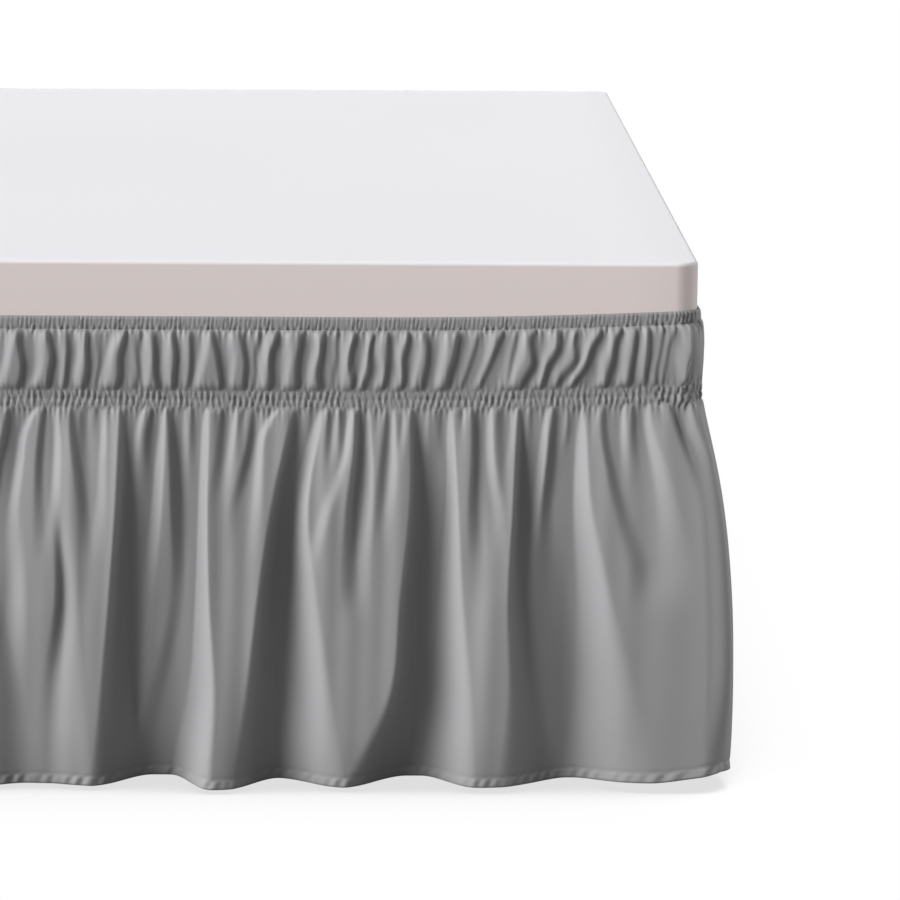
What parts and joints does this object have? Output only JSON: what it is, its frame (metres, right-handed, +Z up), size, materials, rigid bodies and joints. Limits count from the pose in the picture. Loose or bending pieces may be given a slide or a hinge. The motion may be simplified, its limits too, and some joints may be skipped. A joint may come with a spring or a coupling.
{
  "type": "bed skirt on a bed",
  "caption": "Gathered wrap-around bed skirt with a casing, a heading band, a lower elastic line and a long folded drop, fitted round a plain mattress on a base with short legs.",
  "frame": {"origin": "on the floor, under the middle of the bed", "axes": "+Z up; +Y from the foot of the bed to its head; +X to the right as seen from the foot"},
  "size_m": [1.6272, 2.1346, 0.506],
  "materials": {
    "mattress_cover": "smooth white knitted cover with a pale beige border",
    "base_cloth": "plain beige upholstery cloth",
    "leg_wood": "satin stained beech",
    "skirt_microfibre": "brushed polyester microfibre in mid grey with a soft sheen"
  },
  "bodies": {
    "root": {"mattress": "mattress_cover", "bed_base": "base_cloth", "leg_1": "leg_wood", "leg_2": "leg_wood", "leg_3": "leg_wood", "leg_4": "leg_wood", "leg_5": "leg_wood", "leg_6": "leg_wood", "top_casing": "skirt_microfibre", "heading_band": "skirt_microfibre", "lower_elastic": "skirt_microfibre", "drop": "skirt_microfibre"}
  },
  "joints": []
}
